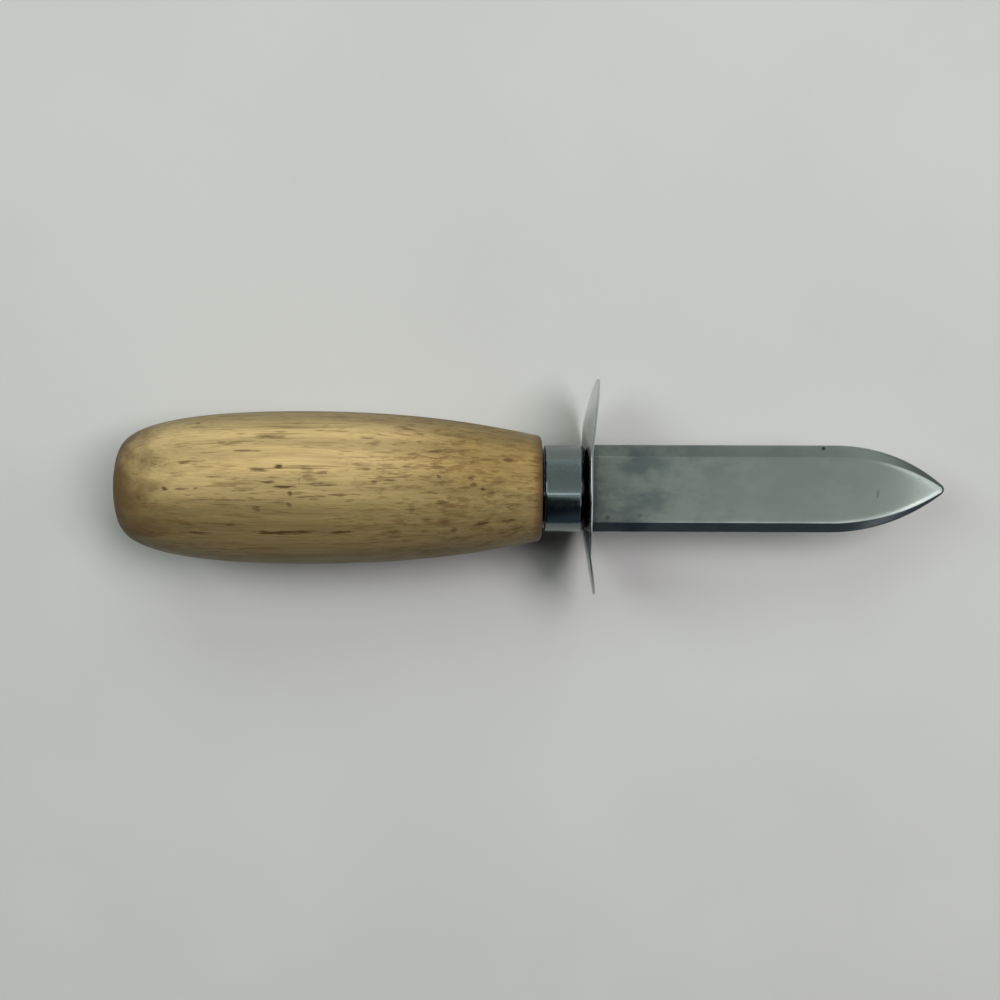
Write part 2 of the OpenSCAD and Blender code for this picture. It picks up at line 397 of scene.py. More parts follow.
@dataclass(frozen=True)
class WoodFinish:
    """Pale, open-pored hardwood under thin varnish, browner in front and grubby at the butt. Its colour
    also holds painted light and shade: the side towards +Y is lit, the lower side and the +Y top edge
    are shaded, and both ends have a dark painted-shade rim.

    Its runs are distances from the butt over which one look gives way to another. Its knots and
    streaks were picked one by one in the photograph. Each has its column and row there, half its length
    along the grain and half its width, in the photograph's pixels, and how dark it is. For their
    places, a pixel at the handle's axis is taken as pixel_mm.
    """

    butt_x: float
    axis_z: float
    length: float
    outline: np.ndarray
    # The light and shaded colours are a lit and a shaded copy of the wood: painted light and painted
    # shade.
    light: Colour = tint(192, 167, 117)
    shaded: Colour = tint(134, 116, 77)
    worn_front: Triple = (0.56, 0.52, 0.41)
    pore: Colour = tint(98, 72, 38)
    deep: Colour = tint(66, 45, 22)
    grime: Colour = tint(96, 75, 46)
    # Colour of painted shade: a dark rim round the rounded butt and along the front edge by the
    # ferrule.
    rim: Colour = tint(82, 56, 42)
    # The side turned this far towards +Y gets the painted light; the side at far_turn is made darker
    # with painted shade by the factor after it.
    lit_turn: float = 47.0
    far_turn: float = 90.0
    far_side_shade: float = 0.78
    front_run: Pair = (46.0, 70.0)
    mottle_run: Pair = (40.0, 58.0)
    sway_mm: float = 2.2
    sway_per_mm: Triple = (0.03, 0.05, 0.05)
    bands_per_mm: Triple = (0.012, 0.34, 0.34)
    fibres_per_mm: Triple = (0.10, 3.4, 3.4)
    crowd_per_mm: Triple = (0.05, 0.30, 0.30)
    lines_per_mm: Triple = (0.13, 2.0, 2.0)
    long_per_mm: Triple = (0.040, 1.5, 1.5)
    mottle_per_mm: Triple = (0.26, 1.0, 1.0)
    ragged_per_mm: Triple = (0.45, 2.8, 2.8)
    clouds_per_mm: Triple = (0.16, 0.24, 0.24)
    speck_mm: Triple = (3.6, 0.46, 0.46)
    pore_depths: tuple[float, ...] = (0.54, 0.50, 0.46, 0.45)
    knot_depth: float = 0.9
    grime_reach: float = 13.0
    relief_mm: float = 0.05
    pixel_mm: float = 0.19277
    first_scale: float = 1.05
    scale_passes: int = 30
    least_cosine: float = 0.4
    thin_mm: float = 0.45
    thin_growth: float = 1.35
    thin_depth: float = 0.15
    streaks_px: tuple[tuple[float, float, float, float, float], ...] = (
        (198.6, 423, 3, 1.92, 0.6), (180, 444, 17, 1, 0.5), (233, 442, 20, 1, 0.5),
        (248, 450, 15, 1, 0.6), (270, 436.5, 16, 1.3, 0.6), (280, 431, 10, 1, 0.3),
        (184, 462, 11, 1.3, 0.5), (175, 474, 14, 1.5, 0.3), (213, 477.6, 26, 0.9, 0.5),
        (180, 489.6, 22, 1, 0.5), (165, 489.6, 4, 1.5, 0.9), (195.7, 489.7, 4, 1.3, 0.7),
        (222, 501, 28, 1, 0.4), (244, 490.7, 10, 1.5, 0.3), (258.6, 509.3, 5, 3, 0.6),
        (280.7, 465.7, 6, 2.6, 1), (258.6, 470.4, 10, 1.5, 0.6), (268.6, 482.6, 8, 1.2, 0.7),
        (287, 487.4, 14, 1.5, 0.8), (292, 495, 3, 3, 0.8), (291.4, 506.4, 4, 1.6, 0.6),
        (280, 503.5, 6, 1.5, 0.4), (310, 474, 10, 9.25, 0.5), (301.4, 480, 1.6, 4, 0.5),
        (324, 473.6, 12, 1.6, 0.5), (324, 484, 13, 1.8, 0.7), (318, 498, 24, 1, 0.4),
        (138, 498, 2, 3, 0.5), (118, 471.4, 2, 3, 0.7), (121, 485.7, 3, 3, 0.8),
        (194, 533.6, 30, 1.3, 0.6), (281, 534.3, 50, 1.6, 0.8), (345, 533.6, 12, 1.6, 0.7),
        (231.4, 526.4, 6, 3.5, 0.5), (187, 525.7, 8, 3.5, 0.4), (342, 496.4, 12, 1, 0.6),
        (377, 482.6, 4, 2.6, 0.7), (395, 480.5, 8, 1.2, 0.6), (371, 470, 7, 1.2, 0.4),
        (371, 438, 8, 1, 0.5), (375, 443.6, 13, 1, 0.4), (413, 467, 7, 1.6, 0.5),
        (440, 467, 12, 1.5, 0.5), (443, 478, 3, 1.4, 0.8), (446, 483, 6, 1.4, 0.5),
        (467, 461.4, 8, 5, 0.3), (476, 478.6, 5, 2, 0.6), (478, 485.7, 5, 2, 0.6),
        (488, 489.7, 3.5, 2, 1), (495.7, 494.3, 5, 1.6, 0.5), (507, 480, 22, 5, 0.4),
        (514, 460, 10, 1.6, 0.5), (435.7, 492.9, 7, 1.5, 0.4), (447, 502.9, 7, 2, 0.5),
        (414.3, 510, 5, 6, 0.5), (430, 520.7, 8, 2.5, 0.4), (448.6, 522.9, 10, 3, 0.4),
        (458.6, 532.9, 4, 4, 0.6), (485.7, 524.6, 9, 2.5, 0.9), (516, 521.5, 20, 1.6, 0.6),
        (517, 531.4, 18, 5, 0.4), (398, 538, 10, 2, 0.5), (397, 533.6, 14, 1.4, 0.4),
        (415, 429.3, 7, 1.4, 0.4), (441, 450.7, 13, 1.2, 0.4))

    def knots(self) -> tuple[Mark, ...]:
        """Puts the knots and streaks on the turned surface, where the photograph shows them.

        A point at the height z above the axis is seen s = D / (D - z) times as large from the
        camera's distance D. Where the surface's radius is r and the point is seen u off the axis,
        z = sqrt(r^2 - u^2) and the point has turned by asin(u / r). Passes make s and z agree.
        A mark turned aside is wider than it looks, by 1 / cos of that angle. The places are
        rounded to 0.1 mm and whole degrees, as the eye can't tell them more finely. Thin marks
        are widened and darkened so that they show.

        Returns:
            A mark for each of them.
        """
        camera = PhotoCamera()
        column, row, half_l, half_w, depth = np.array(self.streaks_px).T
        middle = camera.frame_px / 2
        axis_row = camera.axis_row_px + camera.axis_slope * (column - camera.slope_from_px)
        scale = np.full(len(column), self.first_scale)
        for _ in range(self.scale_passes):
            along = ((column - middle) / scale + middle - camera.butt_px) * self.pixel_mm
            radius = np.interp(along, self.outline[:, 0], self.outline[:, 1])
            across = (axis_row - row) * self.pixel_mm / scale
            height = np.sqrt(np.maximum(radius ** 2 - across ** 2, 0)) / self.pixel_mm
            scale = camera.distance_px / (camera.distance_px - height)
        aside = np.arcsin(across / radius)
        half_l = to_step(half_l * self.pixel_mm / scale, 0.1)
        half_w = half_w * self.pixel_mm / scale / np.maximum(np.cos(aside), self.least_cosine)
        half_w = to_step(half_w, 0.01)
        thin = half_w < self.thin_mm
        half_w[thin] = np.minimum(half_w[thin] * self.thin_growth, self.thin_mm)
        half_w = to_step(half_w, 0.01)
        depth[thin] = np.minimum(depth[thin] + self.thin_depth, 1)
        along = to_step(along, 0.1)
        turn = np.radians(to_step(np.degrees(aside) + camera.tilt, 1))
        radius = np.interp(along, self.outline[:, 0], self.outline[:, 1])
        centres = np.stack([self.butt_x + along, radius * np.sin(turn),
                            self.axis_z + radius * np.cos(turn)], axis=-1)
        halves = np.stack([half_l, half_w, half_w], axis=-1)
        return tuple(Mark(tuple(centre), tuple(half), dark) for centre, half, dark
                     in zip(centres.tolist(), halves.tolist(), depth.tolist()))

    def facing(self, graph: Graph, where: Socket, turn: float) -> Socket:
        """Cosine of the angle about the axis between a point and one side of the handle.

        Args:
            graph: the material's graph.
            where: position in millimetres.
            turn: the side's angle in degrees from straight up towards +Y.

        Returns:
            A number from -1 to 1.
        """
        a = math.radians(turn)
        outwards = graph.vector("SUBTRACT", where, (0, 0, self.axis_z))
        outwards = graph.vector("MULTIPLY", outwards, (0, 1, 1))
        outwards = graph.vector("NORMALIZE", outwards)
        return graph.add("ShaderNodeVectorMath", {0: outwards, 1: (0, math.sin(a), math.cos(a))},
                         operation="DOT_PRODUCT").outputs["Value"]

    def material(self) -> bpy.types.Material:
        """Makes the material: growth bands, fibres, pores of four sizes, knots, grime, varnish, and
        painted light and shade on the sides and at the end rims.

        Returns:
            The material.
        """
        material, graph = new_material("pale_hardwood")
        where = graph.millimetres()
        along = graph.math("SUBTRACT", graph.add("ShaderNodeSeparateXYZ", {0: where}).outputs[0],
                           self.butt_x)
        sway = graph.add("ShaderNodeTexNoise",
                         {"Vector": graph.vector("MULTIPLY", where, self.sway_per_mm),
                          "Scale": 1.0, "Detail": 2.0})
        shift = graph.vector("MULTIPLY",
                             graph.vector("SUBTRACT", sway.outputs["Color"], (0.5, 0.5, 0.5)),
                             (0.0, self.sway_mm, self.sway_mm))
        grain = graph.vector("ADD", where, shift)

        # Painted light and shade: lit colour on the side towards +Y, shaded colour on the lower side,
        # and a darker +Y top edge.
        facing = self.facing(graph, where, self.lit_turn)
        colour = graph.mix(graph.fade(facing, 0.60, 1.06), self.shaded, self.light)
        front = graph.times(graph.fade(along, *self.front_run), graph.fade(facing, 0.60, 1.0))
        colour = graph.mix(front, colour, graph.vector("MULTIPLY", colour, self.worn_front))
        far_side = self.facing(graph, where, self.far_turn)
        colour = graph.scale(colour, graph.fade(far_side, 0.80, 0.99, 1.0, self.far_side_shade))
        bands = graph.noise(grain, self.bands_per_mm, 3.0, 0.55)
        colour = graph.scale(colour, graph.fade(bands, 0.34, 0.66, 1.14, 0.82))
        fibres = graph.noise(grain, self.fibres_per_mm, 3.0, 0.6)
        colour = graph.scale(colour, graph.fade(fibres, 0.32, 0.68, 1.07, 0.87))

        crowd = graph.noise(grain, self.crowd_per_mm, 2.0)
        lines = graph.fade(graph.noise(grain, self.lines_per_mm, 2.0, 0.6), 0.58, 0.67)
        lines = graph.times(lines, graph.fade(crowd, 0.35, 0.60, 0.25, 1.0))
        long = graph.fade(graph.noise(grain, self.long_per_mm, 2.0, 0.5), 0.60, 0.68)
        fine = graph.specks(grain, self.speck_mm, graph.fade(crowd, 0.35, 0.70, 0.10, 0.36), 0.16)
        mottle = graph.noise(grain, self.mottle_per_mm, 3.0, 0.65)
        mottle = graph.times(graph.fade(mottle, 0.50, 0.62),
                             graph.fade(along, *self.mottle_run, 0.12, 1.0))
        for pores, depth in zip((mottle, lines, long, fine), self.pore_depths):
            colour = graph.mix(graph.times(pores, depth), colour, self.pore)

        ragged = graph.fade(graph.noise(where, self.ragged_per_mm, 3.0), 0.25, 0.75, 0.0, 1.1)
        knots = graph.marks(where, self.knots(), ragged)
        colour = graph.mix(graph.times(knots, self.knot_depth), colour, self.deep)

        cloud = graph.noise(where, self.clouds_per_mm, 3.0, 0.5)
        reach = graph.plus(along, graph.fade(cloud, 0.3, 0.7, 2.5, -2.5))
        colour = graph.mix(graph.fade(reach, self.grime_reach, 0.0, 0.0, 1.0), colour, self.grime)
        # Painted shade: darkens the rim of the butt and the rounded front edge next to the ferrule.
        rim = graph.plus(graph.fade(along, 3.5, 0.0, 0.0, 0.45),
                         graph.fade(along, self.length - 2.2, self.length - 0.4, 0.0, 0.7))
        colour = graph.mix(rim, colour, self.rim)

        pits = graph.math("MAXIMUM", graph.times(lines, 0.6), knots)
        pits = graph.math("MAXIMUM", graph.times(fine, 0.5), pits)
        height = graph.math("SUBTRACT", graph.times(fibres, 0.3), pits)
        roughness = graph.plus(graph.fade(cloud, 0.3, 0.7, 0.46, 0.58), graph.times(pits, 0.2))
        finish_surface(graph, colour, roughness, height, self.relief_mm,
                       Specular_IOR_Level=0.35, IOR=1.45)
        return material


class Polish(Enum):
    """How a steel surface was finished: its roughness, and the depth of its working marks."""

    BRIGHT = (0.11, 0.0004)
    SATIN = (0.22, 0.0006)
    GROUND = (0.15, 0.0003)

    @property
    def roughness(self) -> float:
        """Mean roughness."""
        return self.value[0]

    @property
    def marks_mm(self) -> float:
        """Depth of the working marks in millimetres."""
        return self.value[1]


@dataclass(frozen=True)
class SteelFinish:
    """Stainless steel with working marks that run one way, faint stains, a few dark specks and dark
    patches of painted shade.

    Along stain_run, measured along X, the stains weaken to the share stain_left.
    """

    name: str
    polish: Polish
    clean: Colour
    stained: Colour
    marks_per_mm: Triple
    stain: float
    flaws_and_shade: tuple[Mark, ...]
    flaw_and_shade_colour: Colour = tint(34, 38, 40)
    clouds_per_mm: Triple = (0.11, 0.16, 0.16)
    ragged_per_mm: Triple = (1.6, 1.6, 1.6)
    stain_run: Pair = (-1000.0, 1000.0)
    stain_left: float = 0.3
    marks_depth: float = 0.18

    def material(self) -> bpy.types.Material:
        """Makes the material.

        Returns:
            The material.
        """
        material, graph = new_material(self.name)
        where = graph.millimetres()
        lines = graph.noise(where, self.marks_per_mm, 3.0, 0.6)
        clouds = graph.noise(where, self.clouds_per_mm, 4.0, 0.62)
        along = graph.add("ShaderNodeSeparateXYZ", {0: where}).outputs[0]
        strength = graph.fade(along, *self.stain_run, self.stain, self.stain * self.stain_left)
        stains = graph.times(graph.fade(clouds, 0.38, 0.62), strength)
        colour = graph.mix(stains, self.clean, self.stained)
        colour = graph.mix(graph.fade(lines, 0.3, 0.8, 0.0, self.marks_depth), colour, self.stained)
        ragged = graph.fade(graph.noise(where, self.ragged_per_mm, 2.0), 0.25, 0.75, 0.0, 0.4)
        # These marks are dark specks, and patches of painted shade where parts meet or reflect shade.
        colour = graph.mix(graph.marks(where, self.flaws_and_shade, ragged), colour, self.flaw_and_shade_colour)
        rough = self.polish.roughness
        roughness = graph.plus(graph.fade(clouds, 0.3, 0.7, rough * 0.9, rough * 1.15),
                               graph.fade(lines, 0.3, 0.8, -0.02, 0.04))
        finish_surface(graph, colour, roughness, lines, self.polish.marks_mm, Metallic=1.0)
        return material


@dataclass(frozen=True)
class ResinFinish:
    """Dull brown cutler's resin with fine grit in it."""

    base: Colour = tint(120, 98, 62)
    grit: Colour = tint(74, 58, 36)
    clouds_per_mm: Triple = (0.5, 0.5, 0.5)
    grit_mm: Triple = (0.7, 0.7, 0.7)
    relief_mm: float = 0.05

    def material(self) -> bpy.types.Material:
        """Makes the material.

        Returns:
            The material.
        """
        material, graph = new_material("cutlers_resin")
        where = graph.millimetres()
        clouds = graph.noise(where, self.clouds_per_mm, 3.0)
        grit = graph.specks(where, self.grit_mm, 0.3, 0.15)
        colour = graph.mix(graph.times(grit, 0.6), self.base, self.grit)
        finish_surface(graph, colour, graph.fade(clouds, 0.3, 0.7, 0.6, 0.8), clouds,
                       self.relief_mm)
        return material


@dataclass(frozen=True)
class TableFinish:
    """Pale, matt and faintly uneven table top."""

    light: Colour = tint(205, 205, 203)
    dark: Colour = tint(201, 201, 199)
    clouds_per_mm: Triple = (0.012, 0.012, 0.012)
    grain_per_mm: Triple = (0.8, 0.8, 0.8)
    relief_mm: float = 0.01

    def material(self) -> bpy.types.Material:
        """Makes the material.

        Returns:
            The material.
        """
        material, graph = new_material("pale_table")
        where = graph.millimetres()
        clouds = graph.noise(where, self.clouds_per_mm, 3.0)
        grain = graph.noise(where, self.grain_per_mm, 3.0)
        colour = graph.mix(graph.fade(clouds, 0.35, 0.65), self.dark, self.light)
        finish_surface(graph, colour, graph.fade(clouds, 0.3, 0.7, 0.55, 0.65), grain,
                       self.relief_mm, Specular_IOR_Level=0.2)
        return material


# The knife's pieces


@dataclass
class Handle:
    """Turned grip: a solid of revolution with a spigot in front and a drilled hole for the tang."""

    belly_d: float = 29.8
    belly_from_butt: float = 35.0
    butt_flat_d: float = 14.4
    butt_round_h: float = 4.9
    shoulder_l: float = 22.6
    neck_sweep_l: float = 27.0
    neck_d: float = 20.8
    neck_slope: float = 10.0
    neck_edge_r: float = 1.2
    edge_lead: float = 4.0
    spigot_r: float = 7.65
    spigot_chamfer: float = 0.6
    bore_r: float = 3.894
    bore_cone_h: float = 2.34
    turns: int = 224
    grip_rows: int = 182
    wobble: float = 0.05
    wobble_fade: float = 8.0

    def __post_init__(self) -> None:
        """Reads the handle's stations from its CAD node and the ferrule's."""
        low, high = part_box("handle")
        self.butt_x = low.x / MM
        self.spigot_end = (high.x - low.x) / MM
        self.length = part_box("ferrule")[0].x / MM - self.butt_x
        self.axis_z = (low.z + high.z) / 2 / MM
        self.bore_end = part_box("tang_resin")[0].x / MM - self.butt_x + self.bore_cone_h

    def outline(self) -> np.ndarray:
        """Outline from the middle of the butt, over the grip and the spigot, to the hole's end.

        Returns:
            Points (distance from the butt, radius).
        """
        belly = (self.belly_from_butt, self.belly_d / 2)
        rear = bezier((0, self.butt_flat_d / 2), (0, self.butt_flat_d / 2 + self.butt_round_h),
                      (self.belly_from_butt - self.shoulder_l, self.belly_d / 2), belly, 90)
        edge_centre = (self.length - self.neck_edge_r, self.neck_d / 2 - self.neck_edge_r)
        edge = arc(edge_centre, self.neck_edge_r, 90 - self.neck_slope, 0, 12)
        slope = math.radians(self.neck_slope)
        lead = (edge[0][0] - self.edge_lead * math.cos(slope),
                edge[0][1] + self.edge_lead * math.sin(slope))
        front = bezier(belly, (self.belly_from_butt + self.neck_sweep_l, self.belly_d / 2),
                       lead, tuple(edge[0]), 80)
        chamfer = (self.spigot_end - self.spigot_chamfer, self.spigot_r)
        end = (self.spigot_end, self.spigot_r - self.spigot_chamfer)
        return chain(
            straight((0, 0), (0, self.butt_flat_d / 2), 10), rear, front, edge,
            straight(tuple(edge[-1]), (self.length, self.spigot_r), 3),
            straight((self.length, self.spigot_r), chamfer, 6),
            straight(chamfer, end, 1),
            straight(end, (self.spigot_end, self.bore_r), 3),
            straight((self.spigot_end, self.bore_r), (self.bore_end, self.bore_r), 30),
            straight((self.bore_end, self.bore_r), (self.bore_end - self.bore_cone_h, 0), 4))

    def build(self) -> bpy.types.Object:
        """Turns the outline about the knife's axis.

        The grip's radius is the outline's less a hand-turned unevenness of
        wobble (2 + sin(x/7 + 2a) + sin(x/11 - 3a)) / 4, which fades out over the last
        wobble_fade at both ends.

        Returns:
            The piece.
        """
        line = self.outline()
        angle = np.linspace(0, 2 * np.pi, self.turns, endpoint=False)[None, :]
        along, radius = line[:, :1], line[:, 1:]
        grip = (np.arange(len(line))[:, None] < self.grip_rows) & (along > 0)
        fades = ease(along, 0, self.wobble_fade) * grip
        fades = fades * ease(along, self.length, self.length - self.wobble_fade)
        waves = 2 + np.sin(along / 7 + 2 * angle) + np.sin(along / 11 - 3 * angle)
        turned = radius - self.wobble * fades * waves / 4
        points = np.stack([np.broadcast_to(along + self.butt_x, turned.shape),
                           turned * np.sin(angle),
                           self.axis_z + turned * np.cos(angle)], axis=-1)
        faces = grid_faces(len(line), self.turns, False, True)
        return solid("turned_handle", points.reshape(-1, 3) * MM, faces.tolist(), 40)

    def dress(self, piece: bpy.types.Object) -> None:
        """Gives the piece its wood and puts it in the node's place."""
        finish = WoodFinish(self.butt_x, self.axis_z, self.length, self.outline()[:self.grip_rows])
        place(piece, finish.material(), "handle")


@dataclass
class Tang:
    """The flat tang's section, which the ferrule's and the guard's slots clear."""

    width: float = 6.8
    end_width: float = 5.0
    thickness: float = 2.0
    length: float = 54.0
    notches: int = 4
    notch_r: float = 0.6
    slot_gap: float = 0.1
    ease: float = 0.05

    def slot(self, angle: np.ndarray) -> np.ndarray:
        """Outline of the slot: the radius (|cos a / w|^n + |sin a / h|^n)^(-1/n), with n = 14.

        Args:
            angle: angle from +Y towards +Z, in radians.

        Returns:
            Points (y, z) about the knife's axis.
        """
        half_w = self.width / 2 + self.slot_gap
        half_h = self.thickness / 2 + self.slot_gap
        power = 14
        radius = (np.abs(np.cos(angle) / half_w) ** power
                  + np.abs(np.sin(angle) / half_h) ** power) ** (-1 / power)
        return np.stack([radius * np.cos(angle), radius * np.sin(angle)], axis=-1)


@dataclass
class Ferrule:
    """Drawn steel cap over the spigot, rounded in front, with a slot for the tang."""

    tang: Tang
    wall: float = 0.8
    front_r: float = 1.4
    lip_r: float = 0.4
    lip_gap: float = 0.45
    lip_depth: float = 0.6
    turns: int = 224

    def __post_init__(self) -> None:
        """Reads the cap's ends, diameter and axis from its CAD node."""
        low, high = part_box("ferrule")
        self.rear_x, self.front_x = low.x / MM, high.x / MM
        self.radius = (high.y - low.y) / 2 / MM
        self.axis_z = (low.z + high.z) / 2 / MM

    def build(self) -> bpy.types.Object:
        """Carries the cap's section round the axis, as a closed ring.

        The section runs (x, r) from a fine groove at the wood over the rolled rear lip, along
        the outside, round the front corner and in over the front.
        There each point is outline(a) + t (slot(a) - outline(a)), so the round front narrows to
        the slot. It goes on through the slot, out over the front's inside and back to the rear.

        Returns:
            The piece.
        """
        inside_r = self.radius - self.wall
        inside_x = self.front_x - self.wall
        corner_r = self.front_r - self.wall
        angle = np.linspace(0, 2 * np.pi, self.turns, endpoint=False)
        lip_x = self.rear_x + self.lip_gap
        groove_r = self.radius - self.lip_depth
        outside = chain(
            straight((self.rear_x, groove_r), (lip_x, groove_r), 2),
            straight((lip_x, groove_r), (lip_x, self.radius - self.lip_r), 1),
            arc((lip_x + self.lip_r, self.radius - self.lip_r), self.lip_r, 180, 90, 12),
            straight((lip_x + self.lip_r, self.radius),
                     (self.front_x - self.front_r, self.radius), 40),
            arc((self.front_x - self.front_r, self.radius - self.front_r), self.front_r, 90, 0, 16))
        inside = chain(
            arc((inside_x - corner_r, inside_r - corner_r), corner_r, 0, 90, 8),
            straight((inside_x - corner_r, inside_r), (self.rear_x, inside_r), 8))
        ring = np.stack([np.cos(angle), np.sin(angle)], axis=-1)
        slot = self.tang.slot(angle)

        def turned(line: np.ndarray) -> np.ndarray:
            """Turns a line about the knife's axis.

            Args:
                line: points (x, r).

            Returns:
                Points as (row, angle, xyz).
            """
            flat = line[:, 1][:, None, None] * ring[None]
            along = np.broadcast_to(line[:, 0][:, None, None], flat.shape[:2] + (1,))
            return np.concatenate([along, flat], axis=-1)

        def narrowed(x: float, start_r: float, shares: np.ndarray) -> np.ndarray:
            """Rows across the cap's front that run from a circle to the slot."""
            flat = start_r * ring[None] + shares[:, None, None] * (slot - start_r * ring)[None]
            return np.concatenate([np.full(flat.shape[:2] + (1,), x), flat], axis=-1)

        rows = np.concatenate([
            turned(outside),
            narrowed(self.front_x, self.radius - self.front_r, np.linspace(0.15, 1, 7)),
            narrowed(inside_x, inside_r - corner_r, np.linspace(1, 0.15, 7)),
            turned(inside)])
        points = rows.reshape(-1, 3) + (0, 0, self.axis_z)
        faces = grid_faces(len(rows), self.turns, True, True)
        return solid("drawn_ferrule", points * MM, faces.tolist())

    def dress(self, piece: bpy.types.Object) -> None:
        """Gives the piece its bright steel, with painted shade at both ends and darker painted
        reflections on its sides, and puts it in the node's place.

        Args:
            piece: the built piece.
        """
        # Painted shade: dark in the groove by the wood and at the front by the guard; darker painted
        # reflections on the +Y side and low on the -Y side.
        painted_shade = (Mark((self.rear_x, 0, self.axis_z), (0.48, 40, 40), 1.0),
                Mark((self.front_x, 0, self.axis_z), (1.0, 40, 40), 0.95),
                Mark((self.front_x - 4, self.radius, self.axis_z + 2), (9, 4.5, 6), 0.3),
                Mark((self.front_x - 4, -6.8, self.axis_z + 5.1), (9, 2.6, 2.6), 0.5))
        finish = SteelFinish("bright_steel", Polish.BRIGHT, tint(144, 154, 154), tint(129, 138, 140),
                             (5.0, 0.3, 0.3), 0.4, painted_shade)
        place(piece, finish.material(), "ferrule")


@dataclass
class Guard:
    """Oval plate of steel sheet: flat in the middle, its two wings bent towards the blade."""

    tang: Tang
    end_r: float = 4.7
    thickness: float = 0.5
    bend_r: float = 12.0
    wing_angle: float = 9.0
    seat_half: float = 8.95
    rim_r: float = 0.2
    around: int = 360
    across: int = 28

    def __post_init__(self) -> None:
        """Reads the plate's place, width and height from its CAD node."""
        low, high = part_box("guard")
        self.rear_x = low.x / MM
        self.half_w = (high.y - low.y) / 2 / MM
        self.half_h = (high.z - low.z) / 2 / MM
        self.axis_z = (low.z + high.z) / 2 / MM

    def oval(self, turn: np.ndarray) -> np.ndarray:
        """Oval of four tangent arcs. Where the outward normal has the angle a, its point is
        the arc's centre + its radius (cos a, sin a).

        Args:
            turn: the normal's angle from +Y towards +Z, in radians.

        Returns:
            Points (y, z) about the knife's axis.
        """
        end_c = self.half_w - self.end_r
        side_gap = self.half_h - self.end_r
        side_c = (end_c ** 2 - side_gap ** 2) / (2 * side_gap)
        side_r = self.half_h + side_c
        at_end = np.abs(np.sin(turn)) < math.sin(math.atan2(side_c, end_c))
        centre_y = np.where(at_end, np.sign(np.cos(turn)) * end_c, 0)
        centre_z = np.where(at_end, 0, -np.sign(np.sin(turn)) * side_c)
        radius = np.where(at_end, self.end_r, side_r)
        return np.stack([centre_y + radius * np.cos(turn), centre_z + radius * np.sin(turn)], axis=-1)

    def bent(self, across_y: np.ndarray, depth: np.ndarray) -> np.ndarray:
        """Distance in front of the seat's rear face of a layer of the sheet.

        The layer is flat up to seat_half. From there it follows the circle about
        (bend_r + thickness, seat_half) of radius r = bend_r + thickness - depth, which is
        x = c - sqrt(r^2 - w^2), and beyond w = r sin(wing_angle) the circle's tangent.

        Args:
            across_y: distance from the middle, across the blade's edges.
            depth: how far the layer lies in front of the rear face.

        Returns:
            Distances in millimetres.
        """
        centre = self.bend_r + self.thickness
        angle = math.radians(self.wing_angle)
        radius = centre - depth
        wing = np.maximum(np.abs(across_y) - self.seat_half, 0)
        bend = np.minimum(wing, radius * math.sin(angle))
        return centre - np.sqrt(radius ** 2 - bend ** 2) + (wing - bend) * math.tan(angle)

    def build(self) -> bpy.types.Object:
        """Runs a grid from the slot out to the rim in front, round the rim and back behind.

        At a share t of the way, a point is slot + t (outline - rim_r normal - slot), and the
        rim's rounding adds rim_r (1 - cos b) of thickness and rim_r sin b of width.

        Returns:
            The piece.
        """
        turn = np.linspace(0, 2 * np.pi, self.around, endpoint=False) + math.pi / self.around
        normal = np.stack([np.cos(turn), np.sin(turn)], axis=-1)
        outline = self.oval(turn) - self.rim_r * normal
        slot = self.tang.slot(np.arctan2(outline[:, 1], outline[:, 0]))
        share = np.linspace(0, 1, self.across)[:, None, None]
        sheet = slot[None] + share * (outline - slot)[None]
        bend = np.radians(np.linspace(0, 90, 6))[1:, None]
        out = outline[None] + self.rim_r * np.sin(bend)[:, :, None] * normal[None]
        in_layer = self.rim_r * (1 - np.cos(bend)) + 0 * turn[None]
        flat = np.concatenate([sheet, out, out[::-1], sheet[::-1]])
        level = np.zeros((self.across, len(turn)))
        depth = np.concatenate([level + self.thickness, self.thickness - in_layer,
                                in_layer[::-1], level])
        along = self.rear_x + self.bent(flat[:, :, 0], np.clip(depth, 0, self.thickness))
        points = np.concatenate([along[:, :, None], flat], axis=-1).reshape(-1, 3)
        faces = grid_faces(len(flat), self.around, True, True)
        return solid("bent_guard", (points + (0, 0, self.axis_z)) * MM, faces.tolist(), 50)

    def dress(self, piece: bpy.types.Object) -> None:
        """Gives the piece its satin sheet steel, with painted shade on its rear face and lower wing,
        and puts it in the node's place.
        """
        # Painted shade: a dark patch in the middle of the rear face and a darker lower wing, where the
        # steel reflects shade.
        finish = SteelFinish("satin_sheet_steel", Polish.SATIN, tint(204, 207, 206),
                             tint(178, 182, 180), (0.4, 0.5, 6.0), 0.4,
                             (Mark((self.rear_x, 0, self.axis_z), (0.1, 9.8, 20.0), 0.9),
                              Mark((self.rear_x + 1.5, -17, self.axis_z), (3.0, 7.5, 17.0), 0.5)))
        place(piece, finish.material(), "guard")


